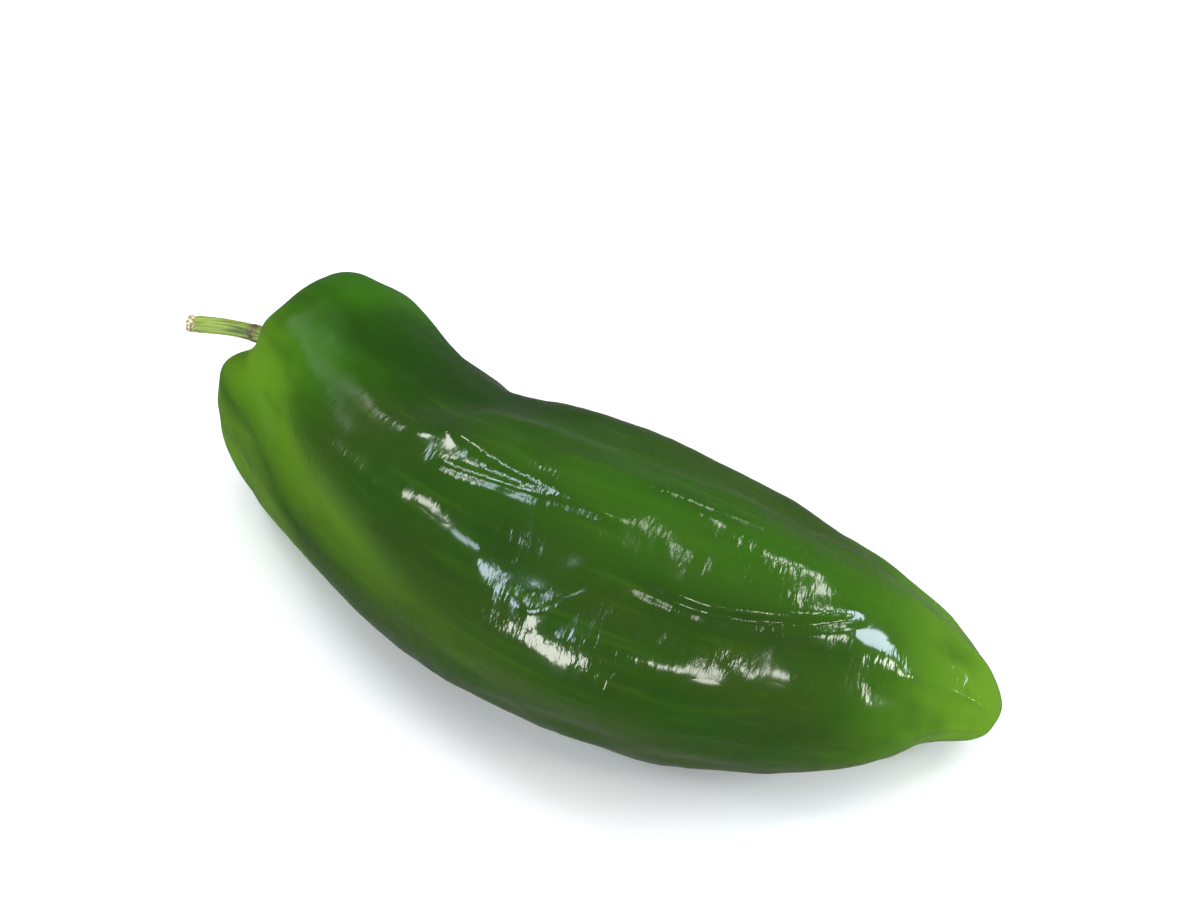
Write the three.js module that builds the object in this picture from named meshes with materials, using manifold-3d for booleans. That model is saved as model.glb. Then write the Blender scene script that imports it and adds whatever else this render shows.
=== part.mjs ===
// A green horn pepper lying on its side: the pod, the calyx in its sunken shoulder and the curved stem.
// Units are millimetres and +Z is up. The stem end points along -X and the tip along +X.
import * as THREE from 'three';
import { mergeVertices } from 'three/addons/utils/BufferGeometryUtils.js';
import Module from 'manifold-3d';

// Driving dimensions. A station is the distance along the pod's centre line from its stem end, and an
// angle is in degrees round the pod, from 0 at the top over 90 on the -Y side.
const leadLength = 12; // centre line before station 0
const restDepth = 0.9; // how far the lowest skin is pressed flat where the pod rests
const podSides = 56;
const podSteps = 62;
const calyxSides = 40;
const calyxSteps = 24;
const calyxPoints = 5;
const calyxPointCut = 0.16; // share of the radius lost between two calyx points
const calyxPointStart = [4, 9]; // radii between which the points grow out of the round middle
const stemSides = 20;
const stemSteps = 34;
const stemRibs = 5;
const stemRibHeight = 0.12;
const stemRibStart = [0.5, 1.5]; // radii between which the ribs rise on the stem's ends

// Centre line of the pod, from ahead of the stem end to the tip.
const podLine = [
  [-104, 26, 21],
  [-72, 12, 22],
  [-36, -2, 25],
  [0, -5, 27.5],
  [34, 1, 23],
  [62, 14, 13.5],
  [82, 18.5, 3],
];

// Outline of the pod as [station, radius], from the bottom of the recess over the shoulder to the tip.
const podOutline = [
  [22, 0],
  [21.5, 4],
  [19, 8.5],
  [13, 11.5],
  [8, 14.5],
  [7, 19],
  [10, 23],
  [18, 25.5],
  [34, 26],
  [50, 27],
  [70, 29],
  [90, 30.5],
  [110, 30],
  [130, 27],
  [150, 20.5],
  [165, 13.5],
  [175, 8.5],
  [181, 4],
  [182, 0],
];

// Furrows between the three lobes. Angle, width and depth change along the pod as [station, value].
const furrows = [
  {
    angle: [[0, 15], [30, 2], [50, -8], [75, -25], [180, -35]],
    width: [[0, 14], [50, 26], [70, 20], [180, 12]],
    depth: [[0, 3], [20, 0.5], [60, 3.4], [80, 2.5], [150, 1.5], [180, 0]],
  },
  {
    angle: [[0, 35], [20, 42], [50, 66], [90, 83]],
    width: [[0, 14], [60, 16], [180, 14]],
    depth: [[0, 5], [20, 3], [50, 2.2], [90, 0.5], [180, 0]],
  },
  {
    angle: [[0, -160]],
    width: [[0, 22], [180, 18]],
    depth: [[0, 5], [90, 2.5], [180, 0]],
  },
];

// Single hollows. A depth below zero makes a swelling.
const hollows = [
  { station: 60, angle: -60, length: 14, width: 34, depth: 2.5 },
  { station: 22, angle: 85, length: 12, width: 26, depth: 1.5 },
  { station: 36, angle: -60, length: 14, width: 34, depth: 2 },
  { station: 32, angle: 130, length: 18, width: 30, depth: -2 },
  { station: 110, angle: -5, length: 34, width: 12, depth: -0.7 },
  { station: 104, angle: 77, length: 13, width: 12, depth: -2 },
  { station: 130, angle: 62, length: 30, width: 14, depth: -1 },
  { station: 158, angle: -50, length: 18, width: 40, depth: -1.2 },
  { station: 158, angle: 85, length: 16, width: 22, depth: -2.6 },
];

// Furrows start on the recess wall and hollows on the crest, at these distances along the outline.
const furrowStart = [8, 24];
const hollowStart = [20, 30];
const poleFade = 6; // radius below which the surface stays plain
const blockSize = 400; // edge of the block that cuts the flat underside
const mergeDistance = 1e-4;

// Outline of the calyx on the pod's centre line: its open side, its rim and the side on the pod.
const calyxOutline = [
  [17.6, 0],
  [18.2, 2.6],
  [18.8, 4.4],
  [17.4, 6.8],
  [14.9, 9.2],
  [15.6, 9.7],
  [18.8, 7.9],
  [21.2, 3.7],
  [21.65, 0],
];

// Centre line of the stem, from the calyx out of the recess to the cut end, and its own outline.
const stemLine = [
  [-77, 14, 22],
  [-84, 17.2, 22.4],
  [-92, 18.5, 22.8],
  [-103, 17, 22.5],
  [-113, 13.5, 22],
];
const stemOutline = [
  [0.6, 0],
  [0.7, 1.8],
  [1.5, 2.7],
  [4, 2.3],
  [10, 1.9],
  [20, 1.75],
  [30, 1.75],
  [36, 1.85],
  [37.4, 1.6],
  [38, 0],
];

const materials = {
  pod: new THREE.MeshStandardMaterial({ color: 0x476e21, roughness: 0.28, metalness: 0 }),
  calyx: new THREE.MeshStandardMaterial({ color: 0x6b8a34, roughness: 0.55, metalness: 0 }),
  stem: new THREE.MeshStandardMaterial({ color: 0x5f762b, roughness: 0.6, metalness: 0 }),
};

// Value at a station between the listed [station, value] pairs, eased from one pair to the next.
function valueAt(pairs, station) {
  const next = pairs.findIndex(([at]) => at > station);
  if (next === 0) return pairs[0][1];
  if (next < 0) return pairs[pairs.length - 1][1];
  const [fromStation, fromValue] = pairs[next - 1];
  const [toStation, toValue] = pairs[next];
  const share = THREE.MathUtils.smoothstep(station, fromStation, toStation);
  return THREE.MathUtils.lerp(fromValue, toValue, share);
}

// Signed difference of two angles in degrees, between -180 and 180.
function turnBetween(from, to) {
  return THREE.MathUtils.euclideanModulo(to - from + 180, 360) - 180;
}

// Bell curve: 1 at the middle, falling to 0.37 at one width from it.
function bell(distance, width) {
  return Math.exp(-((distance / width) ** 2));
}

// Height of the pod's skin over its plain turned shape. The run is the distance along the outline.
function podRelief({ station, angle, run, radius }) {
  let height = 0;
  for (const furrow of furrows) {
    const aside = turnBetween(valueAt(furrow.angle, station), angle);
    const side = bell(aside, valueAt(furrow.width, station));
    height -= valueAt(furrow.depth, station) * side * THREE.MathUtils.smoothstep(run, ...furrowStart);
  }
  for (const hollow of hollows) {
    const along = bell(station - hollow.station, hollow.length);
    const around = bell(turnBetween(hollow.angle, angle), hollow.width);
    height -= hollow.depth * along * around * THREE.MathUtils.smoothstep(run, ...hollowStart);
  }
  return { lift: height * THREE.MathUtils.smoothstep(radius, 0, poleFade), scale: 1 };
}

// The calyx rim is cut back between its points.
function calyxRelief({ angle, radius }) {
  const between = (1 - Math.cos(calyxPoints * THREE.MathUtils.degToRad(angle))) / 2;
  const outer = THREE.MathUtils.smoothstep(radius, ...calyxPointStart);
  return { lift: 0, scale: 1 - calyxPointCut * between * outer };
}

// Ribs run lengthwise along the stem.
function stemRelief({ angle, radius }) {
  const rib = Math.cos(stemRibs * THREE.MathUtils.degToRad(angle));
  return { lift: stemRibHeight * rib * THREE.MathUtils.smoothstep(radius, ...stemRibStart), scale: 1 };
}

// Place on a curve at a length along it, with the upward direction and the one towards the -Y side.
function frameAt(curve, length) {
  const share = THREE.MathUtils.clamp(length / curve.getLength(), 0, 1);
  const origin = curve.getPointAt(share);
  const forward = curve.getTangentAt(share);
  const up = new THREE.Vector3(0, 0, 1).addScaledVector(forward, -forward.z).normalize();
  const side = new THREE.Vector3().crossVectors(forward, up);
  return { origin, up, side };
}

// Turns an outline round an axis, lays that axis along a curve and raises or narrows the skin by a relief.
function turnAlong(outline, sides, steps, line, lead, relief) {
  const linePoints = line.map((point) => new THREE.Vector3(...point));
  const curve = new THREE.CatmullRomCurve3(linePoints, false, 'catmullrom');
  const outlinePoints = outline.map(([station, radius]) => new THREE.Vector2(radius, station));
  const profile = new THREE.SplineCurve(outlinePoints);
  const geometry = new THREE.LatheGeometry(profile.getSpacedPoints(steps), sides);
  const { position, normal, uv } = geometry.attributes;
  const point = new THREE.Vector3();
  const outward = new THREE.Vector3();
  for (let i = 0; i < position.count; i += 1) {
    point.fromBufferAttribute(position, i);
    outward.fromBufferAttribute(normal, i);
    const radius = Math.hypot(point.x, point.z);
    const angle = THREE.MathUtils.radToDeg(Math.atan2(point.x, point.z));
    const run = uv.getY(i) * profile.getLength();
    const { lift, scale } = relief({ station: point.y, angle, run, radius });
    point.addScaledVector(outward, lift);
    const { origin, up, side } = frameAt(curve, point.y + lead);
    origin.addScaledVector(side, point.x * scale).addScaledVector(up, point.z * scale);
    position.setXYZ(i, origin.x, origin.y, origin.z);
  }
  return geometry;
}

// The same closed geometry as a solid that can be cut.
function solidOf(wasm, geometry) {
  const bare = geometry.clone();
  bare.deleteAttribute('normal');
  bare.deleteAttribute('uv');
  const merged = mergeVertices(bare, mergeDistance);
  const vertProperties = merged.attributes.position.array;
  const triVerts = new Uint32Array(merged.index.array);
  return new wasm.Manifold(new wasm.Mesh({ numProp: 3, vertProperties, triVerts }));
}

function geometryOf(solid) {
  const { vertProperties, triVerts } = solid.getMesh();
  const geometry = new THREE.BufferGeometry();
  geometry.setAttribute('position', new THREE.BufferAttribute(vertProperties, 3));
  geometry.setIndex(new THREE.BufferAttribute(triVerts, 1));
  geometry.computeVertexNormals();
  return geometry;
}

// The pod, pressed flat on its underside where it lies.
function makePod(wasm) {
  const round = turnAlong(podOutline, podSides, podSteps, podLine, leadLength, podRelief);
  round.computeBoundingBox();
  const low = round.boundingBox.min.z + restDepth;
  const block = new THREE.BoxGeometry(blockSize, blockSize, blockSize);
  block.translate(0, 0, low - blockSize / 2);
  const flat = solidOf(wasm, round).subtract(solidOf(wasm, block));
  return new THREE.Mesh(geometryOf(flat), materials.pod);
}

function makeCalyx() {
  const geometry = turnAlong(calyxOutline, calyxSides, calyxSteps, podLine, leadLength, calyxRelief);
  return new THREE.Mesh(geometry, materials.calyx);
}

function makeStem() {
  const geometry = turnAlong(stemOutline, stemSides, stemSteps, stemLine, 0, stemRelief);
  return new THREE.Mesh(geometry, materials.stem);
}

const wasm = await Module();
wasm.setup();

const pepper = new THREE.Group();
const parts = { pod: makePod(wasm), calyx: makeCalyx(), stem: makeStem() };
for (const [name, mesh] of Object.entries(parts)) {
  mesh.name = name;
  pepper.add(mesh);
}

// The origin is on the surface that the pepper lies on, under the middle of its box.
const box = new THREE.Box3().setFromObject(pepper, true);
const middle = box.getCenter(new THREE.Vector3());
pepper.position.set(-middle.x, -middle.y, -box.min.z);

export default pepper;
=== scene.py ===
import math

import bmesh
import bpy
import numpy as np
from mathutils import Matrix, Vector, noise


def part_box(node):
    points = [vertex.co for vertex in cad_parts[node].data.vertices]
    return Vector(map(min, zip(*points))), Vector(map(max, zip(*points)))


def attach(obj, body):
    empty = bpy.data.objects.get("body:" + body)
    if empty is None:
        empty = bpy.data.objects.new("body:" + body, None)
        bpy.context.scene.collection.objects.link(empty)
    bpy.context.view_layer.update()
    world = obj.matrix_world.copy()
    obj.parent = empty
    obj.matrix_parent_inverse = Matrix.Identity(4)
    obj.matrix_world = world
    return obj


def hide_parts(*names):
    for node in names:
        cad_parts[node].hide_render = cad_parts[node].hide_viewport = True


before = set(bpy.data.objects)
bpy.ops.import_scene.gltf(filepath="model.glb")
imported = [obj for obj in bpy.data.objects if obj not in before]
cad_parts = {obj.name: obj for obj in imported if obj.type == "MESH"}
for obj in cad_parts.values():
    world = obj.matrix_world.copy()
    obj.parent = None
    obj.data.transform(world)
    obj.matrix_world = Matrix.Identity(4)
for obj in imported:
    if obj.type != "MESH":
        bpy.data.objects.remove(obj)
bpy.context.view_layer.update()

mm = 0.001

# Points worked out along each kind of curve
outlineSamples = 4000
lineSamples = 3000
threadSamples = 40
mergeDistance = 0.002  # in millimetres
threadFade = 0.2  # share of a thread's length over which it fades in, and out again
seedStep = Vector((7.3, 3.1, 5.7))  # how far apart the noise of two seeds lies

# Pod shape, in millimetres and degrees. A station is the distance along the centre line from the stem end.
# An angle goes round the pod, from 0 at the top over 90 on the -Y side. Pairs are [station, value] and ease
# from one to the next.

podShape = {
    "sides": 300,
    "steps": 290,
    "lead": 12,  # centre line before station 0
    "restDepth": 0.9,  # how far the underside is pressed flat
    "restSoftness": 0.35,
    "line": [
        (-104, 26, 21), (-72, 12, 22), (-36, -2, 25), (0, -5, 27.5), (34, 1, 23), (62, 14, 13.5),
        (82, 18.5, 3),
    ],
    "outline": [
        (22, 0), (21.5, 4), (19, 8.5), (13, 11.5), (8, 14.5), (7, 19), (10, 23), (18, 25.5), (34, 26),
        (50, 27), (70, 29), (90, 30.5), (110, 30), (130, 27), (150, 20.5), (165, 13.5), (175, 8.5),
        (181, 4), (182, 0),
    ],
    "furrowStart": (8, 24),  # furrows begin on the recess wall, at this distance along the outline
    "hollowStart": (20, 30),
    "poleFade": 6,  # radius below which the surface stays plain
    "usualRadius": 28,
    "furrows": [
        {
            "angle": [(0, 15), (30, 2), (50, -8), (75, -25), (180, -35)],
            "width": [(0, 14), (50, 26), (70, 20), (180, 12)],
            "depth": [(0, 3), (20, 0.5), (60, 3.4), (80, 2.5), (150, 1.5), (180, 0)],
        },
        {
            "angle": [(0, 35), (20, 42), (50, 66), (90, 83)],
            "width": [(0, 14), (60, 16), (180, 14)],
            "depth": [(0, 5), (20, 3), (50, 2.2), (90, 0.5), (180, 0)],
        },
        {
            "angle": [(0, -160), (180, -160)],
            "width": [(0, 22), (180, 18)],
            "depth": [(0, 5), (90, 2.5), (180, 0)],
        },
    ],
    # A depth below zero makes a swelling.
    "hollows": [
        {"station": 60, "angle": -60, "length": 14, "width": 34, "depth": 2.5},
        {"station": 22, "angle": 85, "length": 12, "width": 26, "depth": 1.5},
        {"station": 36, "angle": -60, "length": 14, "width": 34, "depth": 2},
        {"station": 32, "angle": 130, "length": 18, "width": 30, "depth": -2},
        {"station": 110, "angle": -5, "length": 34, "width": 12, "depth": -0.7},
        {"station": 104, "angle": 77, "length": 13, "width": 12, "depth": -2},
        {"station": 130, "angle": 62, "length": 30, "width": 14, "depth": -1},
        {"station": 158, "angle": -50, "length": 18, "width": 40, "depth": -1.2},
        {"station": 158, "angle": 85, "length": 16, "width": 22, "depth": -2.6},
        {"station": 90, "angle": 30, "length": 8, "width": 13, "depth": 1},
        {"station": 132, "angle": 40, "length": 14, "width": 12, "depth": 0.6},
    ],
    # Fine raised lines and creases run through [station, angle] points. A lip lifts the skin on one side.
    "threads": [
        {"path": [(65, 3), (85, 10), (105, 12)], "width": 1.2, "height": 0.55},
        {"path": [(70, 20), (88, 16), (105, 12)], "width": 1.1, "height": 0.5},
        {"path": [(95, 57), (101, 45), (105, 30)], "width": 1.6, "height": 0.5},
        {
            "path": [(105, 30), (120, 33), (134, 26), (145, 15)],
            "width": 1.3, "height": -0.55, "lip": 0.5, "lipWidth": 6,
        },
        {"path": [(60, -14), (110, -20), (160, -28)], "width": 2.2, "height": 0.5},
        {"path": [(150, 40), (165, 36), (178, 30)], "width": 2, "height": 0.35},
        {"path": [(148, 75), (165, 72), (178, 66)], "width": 2, "height": 0.35},
    ],
    "lumps": [
        # size along and across the pod, height, seed
        (30, 13, 0.9, 3),
        (13, 7, 0.5, 11),
        (3.4, 9, 0.15, 29),
    ],
}


def ease(low, high, x):
    t = np.clip((x - low) / (high - low), 0, 1)
    return t * t * (3 - 2 * t)


def valueAt(pairs, stations):
    known = np.array(pairs, float)
    after = np.clip(np.searchsorted(known[:, 0], stations), 1, len(known) - 1)
    share = ease(known[after - 1, 0], known[after, 0], stations)
    return known[after - 1, 1] * (1 - share) + known[after, 1] * share


def turnBetween(start, end):
    return (end - start + 180) % 360 - 180


def bell(distance, width):
    return np.exp(-((distance / width) ** 2))


def splinePoints(points, count, reflectEnds=False):
    # Catmull-Rom curve through the points. Its ends are held, or carried straight on.
    known = np.array(points, float)
    first = 2 * known[0] - known[1] if reflectEnds else known[0]
    last = 2 * known[-1] - known[-2] if reflectEnds else known[-1]
    padded = np.vstack([first, known, last])
    place = np.linspace(0, len(known) - 1, count)
    piece = np.minimum(place.astype(int), len(known) - 2)
    t = (place - piece)[:, None]
    a, b, c, d = (padded[piece + k] for k in range(4))
    slopeB, slopeC = (c - a) / 2, (d - b) / 2
    cubed = 2 * b - 2 * c + slopeB + slopeC
    squared = 3 * c - 3 * b - 2 * slopeB - slopeC
    return cubed * t**3 + squared * t**2 + slopeB * t + b


def lengthsAlong(points):
    return np.concatenate([[0], np.cumsum(np.linalg.norm(np.diff(points, axis=0), axis=1))])


def evenPoints(points, count):
    fine = splinePoints(points, outlineSamples)
    run = lengthsAlong(fine)
    wanted = np.linspace(0, run[-1], count)
    return np.column_stack([np.interp(wanted, run, fine[:, k]) for k in range(2)]), wanted


def turnedMesh(outline, sides, steps):
    # One turn of the outline round the X axis, with the distance along the outline kept on each vertex.
    points, runs = evenPoints(outline, steps + 1)
    bm = bmesh.new()
    runLayer = bm.verts.layers.float.new("run")
    verts = []
    for (station, radius), run in zip(points, runs):
        vert = bm.verts.new((station, 0, radius))
        vert[runLayer] = run
        verts.append(vert)
    edges = [bm.edges.new(pair) for pair in zip(verts, verts[1:])]
    bmesh.ops.spin(bm, geom=verts + edges, cent=(0, 0, 0), axis=(1, 0, 0), angle=2 * math.pi,
                   steps=sides, use_merge=True, use_normal_flip=False, use_duplicate=False)
    bmesh.ops.remove_doubles(bm, verts=bm.verts[:], dist=mergeDistance)
    bmesh.ops.recalc_face_normals(bm, faces=bm.faces[:])
    return bm


def readVertices(mesh):
    count = len(mesh.vertices)
    place = np.empty(count * 3)
    normal = np.empty(count * 3)
    run = np.empty(count)
    mesh.vertices.foreach_get("co", place)
    mesh.vertices.foreach_get("normal", normal)
    mesh.attributes["run"].data.foreach_get("value", run)
    return place.reshape(-1, 3), normal.reshape(-1, 3), run


def bendAlong(straight, line, lead):
    # Lays the X axis along a curve, keeping Z as close to upright as it can be.
    curve = splinePoints(line, lineSamples, reflectEnds=True)
    along = lengthsAlong(curve) - lead
    forward = np.gradient(curve, axis=0)
    forward /= np.linalg.norm(forward, axis=1)[:, None]
    up = np.array([0, 0, 1.0]) - forward * forward[:, 2:3]
    up /= np.linalg.norm(up, axis=1)[:, None]
    side = np.cross(forward, up)
    station = straight[:, 0]
    middle, ups, sides = (
        np.column_stack([np.interp(station, along, field[:, k]) for k in range(3)])
        for field in (curve, up, side)
    )
    return middle + ups * straight[:, 2:3] - sides * straight[:, 1:2]


def threadHeight(thread, station, across, girth):
    # Distance to a line drawn on the unrolled skin; the line fades out towards both ends.
    path = splinePoints([(s, angle * girth) for s, angle in thread["path"]], threadSamples)
    nearest = np.full(len(station), np.inf)
    sideOf = np.zeros(len(station))
    share = np.zeros(len(station))
    for i, (a, b) in enumerate(zip(path, path[1:])):
        step = b - a
        t = np.clip(((station - a[0]) * step[0] + (across - a[1]) * step[1]) / (step @ step), 0, 1)
        away = np.hypot(station - a[0] - t * step[0], across - a[1] - t * step[1])
        closer = away < nearest
        nearest[closer] = away[closer]
        share[closer] = (i + t[closer]) / (len(path) - 1)
        sideOf[closer] = np.sign(step[0] * (across - a[1]) - step[1] * (station - a[0]))[closer]
    fade = ease(0, threadFade, share) * ease(0, threadFade, 1 - share)
    height = thread["height"] * bell(nearest, thread["width"]) * fade
    if "lip" in thread:
        lifted = bell(nearest, thread["lipWidth"]) * (1 - bell(nearest, thread["width"]))
        height += thread["lip"] * lifted * (sideOf < 0) * fade
    return height


def lumpHeight(places, along, across, seed):
    shift = seedStep * seed
    scale = np.array([1 / along, 1 / across, 1 / across])
    return np.array([noise.noise(Vector(p) + shift) for p in places * scale])


def podRelief(shape, station, angle, run, radius, straight):
    height = np.zeros(len(station))
    start = ease(*shape["furrowStart"], run)
    for furrow in shape["furrows"]:
        aside = turnBetween(valueAt(furrow["angle"], station), angle)
        height -= valueAt(furrow["depth"], station) * bell(aside, valueAt(furrow["width"], station)) * start
    onCrest = ease(*shape["hollowStart"], run)
    for hollow in shape["hollows"]:
        along = bell(station - hollow["station"], hollow["length"])
        around = bell(turnBetween(hollow["angle"], angle), hollow["width"])
        height -= hollow["depth"] * along * around * onCrest
    girth = math.radians(1) * shape["usualRadius"]  # millimetres of skin for each degree
    for thread in shape["threads"]:
        height += threadHeight(thread, station, angle * girth, girth) * onCrest
    for along, across, tall, seed in shape["lumps"]:
        height += tall * lumpHeight(straight, along, across, seed) * onCrest
    return height * ease(0, shape["poleFade"], radius)


def finishMesh(bm, name):
    mesh = bpy.data.meshes.new(name)
    bm.to_mesh(mesh)
    bm.free()
    piece = bpy.data.objects.new(name, mesh)
    bpy.context.scene.collection.objects.link(piece)
    return piece


def keepValues(mesh, name, values):
    kind = "FLOAT" if values.ndim == 1 else "FLOAT_VECTOR"
    field = mesh.attributes.new(name, kind, "POINT")
    field.data.foreach_set("value" if values.ndim == 1 else "vector", values.astype(np.float32).ravel())


def setPlaces(mesh, places):
    mesh.vertices.foreach_set("co", (places * mm).astype(np.float32).ravel())
    mesh.polygons.foreach_set("use_smooth", [True] * len(mesh.polygons))
    mesh.update()


def makePod(shape, tints):
    piece = finishMesh(turnedMesh(shape["outline"], shape["sides"], shape["steps"]), "pod_skin")
    mesh = piece.data
    straight, normal, run = readVertices(mesh)
    station = straight[:, 0]
    radius = np.hypot(straight[:, 1], straight[:, 2])
    angle = np.degrees(np.arctan2(-straight[:, 1], straight[:, 2]))
    height = podRelief(shape, station, angle, run, radius, straight)
    raised = straight + normal * height[:, None]
    places = bendAlong(raised, shape["line"], shape["lead"])
    cadPodLow, cadPodHigh = (np.array(corner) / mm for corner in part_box("pod"))
    low, high = places.min(axis=0), places.max(axis=0)
    shift = (cadPodLow + cadPodHigh - low - high) / 2
    shift[2] = -(low[2] + shape["restDepth"])
    places += shift
    soft = shape["restSoftness"]
    places[:, 2] = soft * np.logaddexp(0, places[:, 2] / soft)
    setPlaces(mesh, places)
    keepValues(mesh, "grain", straight)
    keepValues(mesh, "lime", limeShare(tints, shape["furrows"][1], station, angle, run))
    # painted shade: a darker green mask for the back lobe and the folds; the mask on the next line is painted
    # light
    keepValues(mesh, "paintedShade", paintedShadeShare(tints, shape["furrows"][0], station, angle))
    keepValues(mesh, "litSkin", paintedLightShare(tints, station, angle))
    keepValues(mesh, "bloom", 1 - ease(*tints["bloomEnd"], station))  # the stem half is duller
    return piece, shift


# Where each tint of the skin lies, painted light and painted shade among them. Stations are in millimetres
# and angles in degrees.
podTints = {
    # yellow-green, where the skin is thin or young
    "limeFurrowWidth": [(0, 34), (30, 26), (60, 17), (180, 12)],
    "limeFurrowShare": [(0, 0.65), (50, 0.5), (80, 0.28), (110, 0.1), (150, 0)],
    "limeSideStart": (10, 40),  # angles past the furrow
    "limeSideEnd": (90, 120),
    "limeSideStations": (30, 75),
    "limeSideShare": 0.65,
    "limeTipStations": (126, 186),
    "limeTipShare": 0.7,
    "limeRecessRun": (14, 30),
    "limeRecessShare": 0.8,
    # painted light: a lighter green than the belly's, on the shoulder and along the top where light falls;
    # the tip half is lighter green too
    "litShoulderStations": (20, 60),
    "litSideAngle": 95,
    "litSideSpread": (60, 20),
    "litSideLoss": 0.5,
    "litTopWidth": 30,
    "litTopStations": (60, 90),
    "litTopShare": 0.6,
    "lighterTipStations": (135, 168),
    # painted shade: a darker green, a painted shadow on the lobe behind the top furrow and darkening in the
    # folds
    "paintedShadeEdge": (14, -14),  # angles past the furrow
    "paintedShadeStart": (18, 34),
    "paintedShadeEnd": (66, 100),
    "paintedShadeFolds": [
        {"station": 89, "length": 8, "angle": 31, "width": 12, "share": 0.5},
        {"station": 128, "length": 22, "angle": 33, "width": 10, "share": 0.6},
    ],
    # the dusty bloom
    "bloomEnd": (38, 68),
}


def limeShare(tints, furrow, station, angle, run):
    # In the long furrow and the side below it, at the recess and at the tip.
    aside = turnBetween(valueAt(furrow["angle"], station), angle)
    inFurrow = bell(aside, valueAt(tints["limeFurrowWidth"], station))
    inFurrow = inFurrow * valueAt(tints["limeFurrowShare"], station)
    below = ease(*tints["limeSideStart"], aside) * (1 - ease(*tints["limeSideEnd"], aside))
    below = below * (1 - ease(*tints["limeSideStations"], station)) * tints["limeSideShare"]
    tip = ease(*tints["limeTipStations"], station) * tints["limeTipShare"]
    recess = (1 - ease(*tints["limeRecessRun"], run)) * tints["limeRecessShare"]
    return np.maximum.reduce([inFurrow, below, tip, recess])


def paintedLightShare(tints, station, angle):
    # Painted light on the shoulder, less on its near side, and along the top; a lighter green on the tip half
    # too.
    nearSide = ease(*tints["litSideSpread"], np.abs(angle - tints["litSideAngle"]))
    shoulder = 1 - ease(*tints["litShoulderStations"], station)
    shoulder = shoulder * (1 - tints["litSideLoss"] * nearSide)
    top = bell(turnBetween(0, angle), tints["litTopWidth"])
    top = top * ease(*tints["litTopStations"], station) * tints["litTopShare"]
    tip = ease(*tints["lighterTipStations"], station)
    return np.maximum.reduce([shoulder, top, tip])


def paintedShadeShare(tints, furrow, station, angle):
    # Painted shade: a painted shadow on the lobe behind the top furrow, and darkening in the folds.
    aside = turnBetween(valueAt(furrow["angle"], station), angle)
    back = ease(*tints["paintedShadeEdge"], aside) * ease(*tints["paintedShadeStart"], station)
    shares = [back * (1 - ease(*tints["paintedShadeEnd"], station))]
    for fold in tints["paintedShadeFolds"]:
        along = bell(station - fold["station"], fold["length"])
        shares.append(along * bell(turnBetween(fold["angle"], angle), fold["width"]) * fold["share"])
    return np.maximum.reduce(shares)


podPiece, lineShift = makePod(podShape, podTints)
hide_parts("pod")
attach(podPiece, "root")
print("pod made, faces:", len(podPiece.data.polygons))


calyxShape = {
    "sides": 160,
    "steps": 90,
    "points": 5,
    "pointCut": 0.16,  # share of the radius lost between two points
    "pointStart": (4, 9),  # radii between which the points grow out of the round middle
    "ribHeight": 0.22,
    "ribStart": (2, 6),
    "outline": [
        (17.6, 0), (18.2, 2.6), (18.8, 4.4), (17.4, 6.8), (14.9, 9.2), (15.6, 9.7), (18.8, 7.9),
        (21.2, 3.7), (21.65, 0),
    ],
}
stemShape = {
    "sides": 96,
    "steps": 260,
    "ribs": 5,
    "ribHeight": 0.12,
    "fineRibs": 17,
    "fineHeight": 0.035,
    "line": [
        (-77, 14, 22), (-84, 17.2, 22.4), (-92, 18.5, 22.8), (-103, 17, 22.5), (-113, 13.5, 22),
    ],
    "outline": [
        (0.6, 0), (0.7, 1.8), (1.5, 2.7), (4, 2.3), (10, 1.9), (20, 1.75), (30, 1.75), (36, 1.85),
        (37.4, 1.6), (38, 0),
    ],
    "sideStart": (0.5, 1.5),  # radii between which the ribs rise on the stem's ends
    "twist": 0.012,  # radians for each millimetre
    "fineWander": 1.3,  # radians by which a fine rib wanders
    "fineWaveLength": 2,
    "lump": {"along": 6, "across": 2, "height": 0.12, "seed": 5},
    "scarStation": 22,
    "scarRing": {"height": 0.15, "width": 0.9},
    "scarTint": {"shift": 0.4, "width": 1.1},
    "cutStation": 35.6,
    "cutNeck": {"depth": 0.18, "width": 0.35},
    "cutEdge": (-0.1, 0.25),
}


def makeCalyx(shape, line, lead):
    piece = finishMesh(turnedMesh(shape["outline"], shape["sides"], shape["steps"]), "calyx_cap")
    straight, normal, _ = readVertices(piece.data)
    radius = np.hypot(straight[:, 1], straight[:, 2])
    angle = np.arctan2(-straight[:, 1], straight[:, 2])
    outer = ease(*shape["pointStart"], radius)
    between = (1 - np.cos(shape["points"] * angle)) / 2
    ribs = shape["ribHeight"] * (np.cos(2 * shape["points"] * angle) - 1) * ease(*shape["ribStart"], radius)
    raised = straight + normal * ribs[:, None]
    raised[:, 1:] *= (1 - shape["pointCut"] * between * outer)[:, None]
    setPlaces(piece.data, bendAlong(raised, line, lead) + lineShift)
    keepValues(piece.data, "grain", straight)
    return piece


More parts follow.
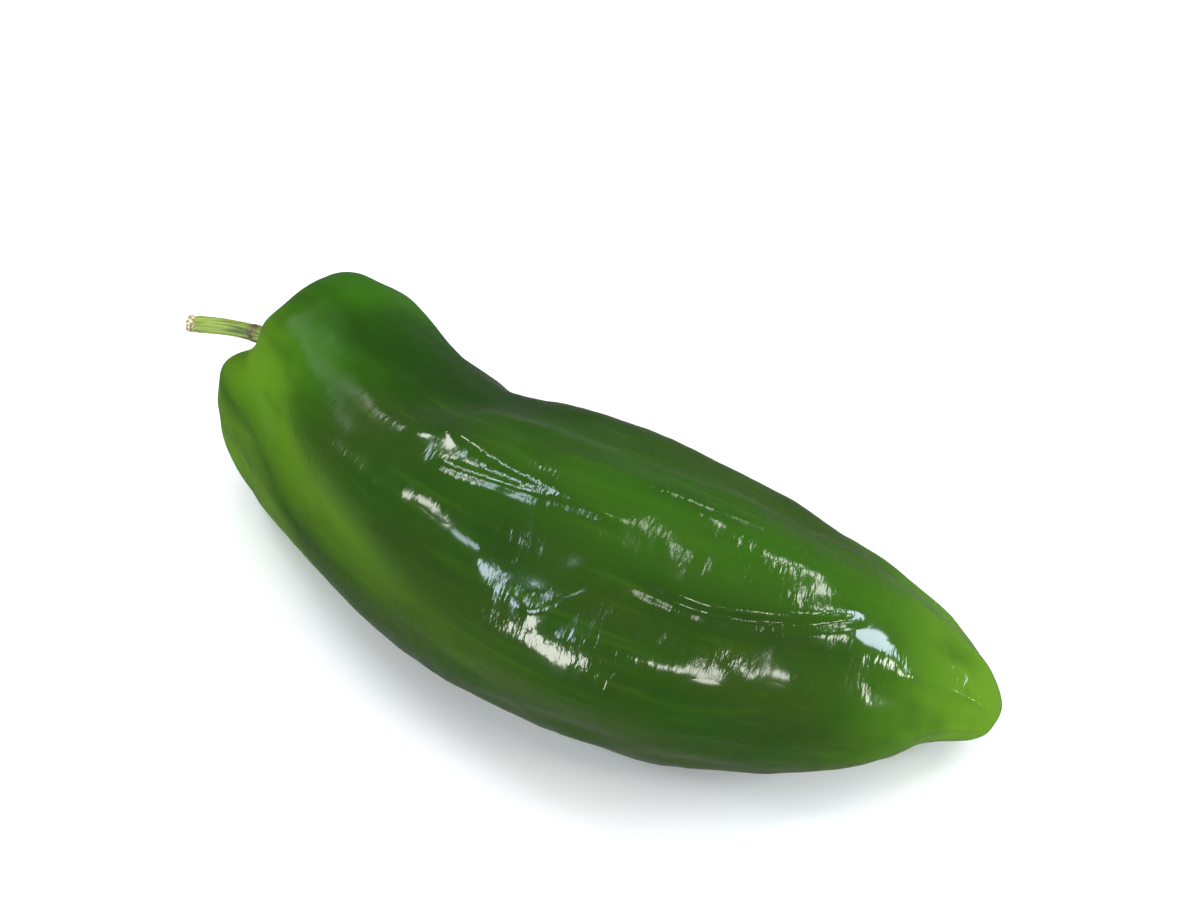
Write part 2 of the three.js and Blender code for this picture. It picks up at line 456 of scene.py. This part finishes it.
def makeStem(shape):
    piece = finishMesh(turnedMesh(shape["outline"], shape["sides"], shape["steps"]), "stem_stalk")
    straight, normal, _ = readVertices(piece.data)
    station = straight[:, 0]
    radius = np.hypot(straight[:, 1], straight[:, 2])
    angle = np.arctan2(-straight[:, 1], straight[:, 2])
    onSide = ease(*shape["sideStart"], radius)
    twist = angle + station * shape["twist"]
    wander = shape["fineWander"] * np.sin(station / shape["fineWaveLength"])
    ribs = shape["ribHeight"] * np.cos(shape["ribs"] * twist)
    ribs += shape["fineHeight"] * np.cos(shape["fineRibs"] * twist + wander)
    lump, neck, ring, tint = shape["lump"], shape["cutNeck"], shape["scarRing"], shape["scarTint"]
    lumps = lump["height"] * lumpHeight(straight, lump["along"], lump["across"], lump["seed"])
    fromCut, fromScar = station - shape["cutStation"], station - shape["scarStation"]
    rings = ring["height"] * bell(fromScar, ring["width"]) - neck["depth"] * bell(fromCut, neck["width"])
    raised = straight + normal * ((ribs + lumps + rings) * onSide)[:, None]
    setPlaces(piece.data, bendAlong(raised, shape["line"], 0) + lineShift)
    keepValues(piece.data, "grain", straight)
    keepValues(piece.data, "cut", ease(*shape["cutEdge"], fromCut))
    keepValues(piece.data, "scar", bell(fromScar - tint["shift"], tint["width"]))
    return piece


calyxPiece = makeCalyx(calyxShape, podShape["line"], podShape["lead"])
stemPiece = makeStem(stemShape)
for piece, node, slotName in ((calyxPiece, "calyx", "calyx_leaf"), (stemPiece, "stem", "stem_bark")):
    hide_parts(node)
    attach(piece, "root")
print("calyx and stem made")


def linearColour(hexValue):
    channels = [int(hexValue[k:k + 2], 16) / 255 for k in (1, 3, 5)]
    return [c / 12.92 if c <= 0.04045 else ((c + 0.055) / 1.055) ** 2.4 for c in channels] + [1]


def addNode(tree, kind, settings=None, inputs=None, links=None):
    # Settings are the node's own fields, inputs are socket values and links feed its sockets.
    node = tree.nodes.new(kind)
    for field, value in (settings or {}).items():
        setattr(node, field, value)
    for socket, value in (inputs or {}).items():
        node.inputs[socket].default_value = value
    for socket, source in (links or {}).items():
        tree.links.new(source, node.inputs[socket])
    return node


def newTree(material):
    material.use_nodes = True
    material.node_tree.nodes.clear()
    return material.node_tree


def addMasks(tree, names):
    masks = {}
    for name in names:
        masks[name] = addNode(tree, "ShaderNodeAttribute", {"attribute_name": name}).outputs["Fac"]
    return masks


def addPatterns(tree, patterns):
    # Noise on the grain field, which holds each point of the straight shape in millimetres.
    grain = addNode(tree, "ShaderNodeAttribute", {"attribute_name": "grain"})
    fields = {}
    for name, (along, across, detail) in patterns.items():
        sized = addNode(tree, "ShaderNodeMapping", inputs={"Scale": (1 / along, 1 / across, 1 / across)},
                        links={"Vector": grain.outputs["Vector"]})
        pattern = addNode(tree, "ShaderNodeTexNoise", inputs={"Scale": 1, "Detail": detail},
                          links={"Vector": sized.outputs["Vector"]})
        fields[name] = pattern.outputs["Fac"]
    return fields


def layColours(tree, base, layers):
    # A layer is a field, its low and high, a share and a colour. It covers the ones before it, from nothing
    # where the field is low to its share where it is high.
    ground = addNode(tree, "ShaderNodeRGB")
    ground.outputs["Color"].default_value = linearColour(base)
    covered = ground.outputs["Color"]
    for field, low, high, share, hexValue in layers:
        amount = addNode(tree, "ShaderNodeMapRange", {"interpolation_type": "SMOOTHSTEP"},
                         {"From Min": low, "From Max": high, "To Max": share}, {"Value": field})
        mixed = addNode(tree, "ShaderNodeMix", {"data_type": "RGBA"}, {7: linearColour(hexValue)},
                        {0: amount.outputs["Result"], 6: covered})
        covered = mixed.outputs[2]
    return covered


podFinish = {
    "green": "#204208",
    "greyGreen": "#273f0c",
    "deepGreen": "#193506",
    "limeGreen": "#5d8518",
    # painted light: the next green lightens the shoulder and the top; the one after it is painted shade
    "litGreen": "#2d5d09",
    "paintedShadeGreen": "#16300a",
    # Each pattern has a length and a width in millimetres, and a detail.
    "patterns": {
        "mottle": (28, 16, 3), "patches": (24, 10, 2), "streaks": (26, 2.2, 2),
        "wrinkles": (1.6, 6, 3), "wrinklePlaces": (14, 9, 1),
    },
    "wrinkleHeight": 0.4,
    "wrinkleStrength": 0.8,
    "subsurface": {"weight": 0.08, "radius": (0.3, 0.6, 0.1), "scale": 3},
    "roughness": 0.08,
    "mottleRoughness": 0.09,
    "specular": 0.5,
    # The dusty bloom on the stem half roughens the skin and takes most of its gloss.
    "bloomRoughness": 0.22,
    "bloomSpecular": -0.38,
    "ior": 1.48,
}
calyxFinish = {
    "green": "#5f8228",
    "paleGreen": "#7d9a3c",
    "patterns": {"mottle": (2.5, 2.5, 4), "down": (0.8, 0.8, 3)},
    "downHeight": 0.12,
    "downStrength": 0.5,
    "roughness": 0.55,
    "ior": 1.4,
}
stemFinish = {
    "olive": "#46601c",
    "paleFibre": "#8fa347",
    "scarBrown": "#3a3a1c",
    "cream": "#d9cfae",
    "cutBrown": "#7a6c48",
    "patterns": {"fibres": (9, 0.55, 4), "spots": (1.6, 1.2, 2), "cutGrain": (0.6, 0.6, 3)},
    "fibreHeight": 0.12,
    "fibreStrength": 0.6,
    "roughness": 0.5,
    "ior": 1.45,
}


def makeSkinMaterial(finish):
    # Sweet pepper skin: a waxy cuticle over green flesh, so sharp highlights lie on a deep even colour.
    material = bpy.data.materials.new("waxy pepper skin")
    tree = newTree(material)
    masks = addMasks(tree, ("lime", "litSkin", "paintedShade", "bloom"))
    fields = addPatterns(tree, finish["patterns"])
    colour = layColours(tree, finish["green"], [
        (fields["mottle"], 0.35, 0.65, 1, finish["greyGreen"]),
        (fields["streaks"], 0.5, 0.8, 0.1, finish["limeGreen"]),
        # painted light: a lighter green on the shoulder and along the top, and on the tip half
        (masks["litSkin"], 0, 1, 0.8, finish["litGreen"]),
        (masks["lime"], 0, 1, 1, finish["limeGreen"]),
        (fields["patches"], 0.45, 0.7, 0.4, finish["deepGreen"]),
        # painted shade: a darker green behind the top furrow and in the folds
        (masks["paintedShade"], 0, 1, 0.7, finish["paintedShadeGreen"]),
    ])
    # The cuticle is finely wrinkled across the pod in some places and smooth in others.
    places = addNode(tree, "ShaderNodeMapRange", inputs={"From Min": 0.35, "From Max": 0.65},
                     links={"Value": fields["wrinklePlaces"]})
    wrinkles = addNode(tree, "ShaderNodeMath", {"operation": "MULTIPLY"},
                       links={0: fields["wrinkles"], 1: places.outputs["Result"]})
    bump = addNode(tree, "ShaderNodeBump", inputs={
        "Strength": finish["wrinkleStrength"], "Distance": finish["wrinkleHeight"] * mm},
        links={"Height": wrinkles.outputs["Value"]})
    mottled = addNode(tree, "ShaderNodeMath", {"operation": "MULTIPLY_ADD"},
                      {1: finish["mottleRoughness"], 2: finish["roughness"]}, {0: fields["mottle"]})
    rough = addNode(tree, "ShaderNodeMath", {"operation": "MULTIPLY_ADD"}, {1: finish["bloomRoughness"]},
                    {0: masks["bloom"], 2: mottled.outputs["Value"]})
    gloss = addNode(tree, "ShaderNodeMath", {"operation": "MULTIPLY_ADD"},
                    {1: finish["bloomSpecular"], 2: finish["specular"]}, {0: masks["bloom"]})
    under = finish["subsurface"]
    shader = addNode(tree, "ShaderNodeBsdfPrincipled", inputs={
        "IOR": finish["ior"], "Subsurface Weight": under["weight"],
        "Subsurface Radius": under["radius"], "Subsurface Scale": under["scale"] * mm},
        links={"Base Color": colour, "Roughness": rough.outputs["Value"],
               "Specular IOR Level": gloss.outputs["Value"], "Normal": bump.outputs["Normal"]})
    addNode(tree, "ShaderNodeOutputMaterial", links={"Surface": shader.outputs["BSDF"]})
    return material


def makeCalyxMaterial(finish):
    # Calyx leaf: dull and slightly downy, mottled in two greens.
    material = bpy.data.materials.new("pepper calyx leaf")
    tree = newTree(material)
    fields = addPatterns(tree, finish["patterns"])
    colour = layColours(tree, finish["green"], [(fields["mottle"], 0.35, 0.65, 1, finish["paleGreen"])])
    bump = addNode(tree, "ShaderNodeBump", inputs={
        "Strength": finish["downStrength"], "Distance": finish["downHeight"] * mm},
        links={"Height": fields["down"]})
    shader = addNode(tree, "ShaderNodeBsdfPrincipled",
                     inputs={"Roughness": finish["roughness"], "IOR": finish["ior"]},
                     links={"Base Color": colour, "Normal": bump.outputs["Normal"]})
    addNode(tree, "ShaderNodeOutputMaterial", links={"Surface": shader.outputs["BSDF"]})
    return material


def makeStemMaterial(finish):
    # Pepper stalk: olive skin with pale lengthwise fibres, a brown scar and a dry cream cut at the end.
    material = bpy.data.materials.new("pepper stalk")
    tree = newTree(material)
    masks = addMasks(tree, ("scar", "cut"))
    fields = addPatterns(tree, finish["patterns"])
    fibres = layColours(tree, finish["olive"], [(fields["fibres"], 0.35, 0.62, 1, finish["paleFibre"])])
    scar = layColours(tree, finish["scarBrown"], [(fields["spots"], 0.42, 0.6, 1, finish["cutBrown"])])
    cut = layColours(tree, finish["cutBrown"], [(fields["cutGrain"], 0.4, 0.62, 1, finish["cream"])])
    scarred = addNode(tree, "ShaderNodeMix", {"data_type": "RGBA"},
                      links={0: masks["scar"], 6: fibres, 7: scar})
    colour = addNode(tree, "ShaderNodeMix", {"data_type": "RGBA"},
                     links={0: masks["cut"], 6: scarred.outputs[2], 7: cut})
    bump = addNode(tree, "ShaderNodeBump", inputs={
        "Strength": finish["fibreStrength"], "Distance": finish["fibreHeight"] * mm},
        links={"Height": fields["fibres"]})
    shader = addNode(tree, "ShaderNodeBsdfPrincipled",
                     inputs={"Roughness": finish["roughness"], "IOR": finish["ior"]},
                     links={"Base Color": colour.outputs[2], "Normal": bump.outputs["Normal"]})
    addNode(tree, "ShaderNodeOutputMaterial", links={"Surface": shader.outputs["BSDF"]})
    return material


podPiece.data.materials.append(makeSkinMaterial(podFinish))
calyxPiece.data.materials.append(makeCalyxMaterial(calyxFinish))
stemPiece.data.materials.append(makeStemMaterial(stemFinish))
print("materials made")


# Lengths on the stage are in metres.
stageSettings = {
    "floorSize": 6,
    "floorColour": "#f8f8f8",
    "floorRoughness": 0.9,
    "roomLight": 0.15,
    "roomColour": "#ffffff",
    "aim": (0, 0, 0.03),
    "softbox": {"azimuth": 0, "height": 75, "distance": 1.6, "size": (2.4, 2.4), "colour": "#fffdf8"},
    "softboxPower": 30,
    # Small bright windows stand round the pepper. Each has an azimuth, 0 at +Y and 90 at +X, its height as an
    # angle above the floor, how wide and how tall it looks in degrees, a brightness and a tint.
    "windows": [
        (-65, 40, 9, 8, 16, "sun"), (-80, 55, 13, 9, 17, "sky"), (-120, 35, 9, 8, 16, "sun"),
        (-135, 40, 9, 7, 12, "sky"), (-160, 30, 13, 9, 18, "sky"), (-170, 45, 7, 6, 11, "sky"),
        (-170, 10, 18, 11, 18, "sun"), (150, 25, 9, 6, 18, "sun"), (125, 30, 9, 6, 18, "sun"),
        (85, 35, 12, 9, 16, "sun"), (50, 40, 10, 8, 15, "sun"), (30, 45, 8, 6, 15, "sun"),
        (60, 20, 18, 16, 18, "sky"), (0, 30, 10, 5, 7, "sun"), (90, 80, 10, 6, 9, "sun"),
        (80, 5, 14, 12, 20, "sun"),
    ],
    "windowDistance": 1.5,
    "tints": {"sun": "#fffdf6", "sky": "#dcebff"},
}
# Angles are in degrees and lengths in millimetres.
cameraSettings = {
    "azimuth": 30,
    "elevation": 50,
    "distance": 455,
    "aim": (-10, 13, 41.5),  # in the centre line's own millimetres
    "lens": 70,
    "sensor": 36,
}


def makeFloor(settings):
    bm = bmesh.new()
    bmesh.ops.create_grid(bm, x_segments=1, y_segments=1, size=settings["floorSize"] / 2)
    floor = finishMesh(bm, "floor")
    material = bpy.data.materials.new("matte white board")  # painted board: even and without gloss
    tree = newTree(material)
    shader = addNode(tree, "ShaderNodeBsdfPrincipled", inputs={
        "Base Color": linearColour(settings["floorColour"]), "Roughness": settings["floorRoughness"]})
    addNode(tree, "ShaderNodeOutputMaterial", links={"Surface": shader.outputs["BSDF"]})
    floor.data.materials.append(material)
    floor.visible_glossy = False  # the skin mirrors the dim room and the windows, and not the floor


def aimAt(thing, place, target):
    thing.location = place
    thing.rotation_euler = (target - place).to_track_quat("-Z", "Y").to_euler()


def directionTo(azimuth, height):
    turn, rise = math.radians(azimuth), math.radians(height)
    return Vector((math.sin(turn) * math.cos(rise), math.cos(turn) * math.cos(rise), math.sin(rise)))


def addLight(name, pane, target, power):
    light = bpy.data.lights.new(name, "AREA")
    light.shape = "RECTANGLE"
    light.size, light.size_y = pane["size"]
    light.energy = power
    light.color = linearColour(pane["colour"])[:3]
    lamp = bpy.data.objects.new(name, light)
    bpy.context.scene.collection.objects.link(lamp)
    aimAt(lamp, target + directionTo(pane["azimuth"], pane["height"]) * pane["distance"], target)
    return lamp


def makeLights(settings):
    target = Vector(settings["aim"])
    softbox = addLight("softbox", settings["softbox"], target, settings["softboxPower"])
    softbox.visible_glossy = False  # it only fills, so the skin keeps its deep colour
    distance = settings["windowDistance"]
    for index, (azimuth, height, wide, tall, brightness, tint) in enumerate(settings["windows"]):
        size = [2 * distance * math.tan(math.radians(angle / 2)) for angle in (wide, tall)]
        window = {"azimuth": azimuth, "height": height, "distance": distance, "size": size,
                  "colour": settings["tints"][tint]}
        addLight(f"window_{index}", window, target, brightness * math.pi * size[0] * size[1])
    world = bpy.data.worlds.new("room")
    world.use_nodes = True
    background = world.node_tree.nodes["Background"]
    background.inputs["Strength"].default_value = settings["roomLight"]
    background.inputs["Color"].default_value = linearColour(settings["roomColour"])
    bpy.context.scene.world = world


def makeCamera(settings):
    target = (Vector(settings["aim"]) + Vector(lineShift)) * mm
    back = directionTo(180 - settings["azimuth"], settings["elevation"])
    data = bpy.data.cameras.new("camera")
    data.lens = settings["lens"]
    data.sensor_width = settings["sensor"]
    camera = bpy.data.objects.new("camera", data)
    bpy.context.scene.collection.objects.link(camera)
    aimAt(camera, target + back * settings["distance"] * mm, target)
    bpy.context.scene.camera = camera


makeFloor(stageSettings)
makeLights(stageSettings)
makeCamera(cameraSettings)
bpy.context.scene.view_settings.view_transform = "Standard"
print("stage made")
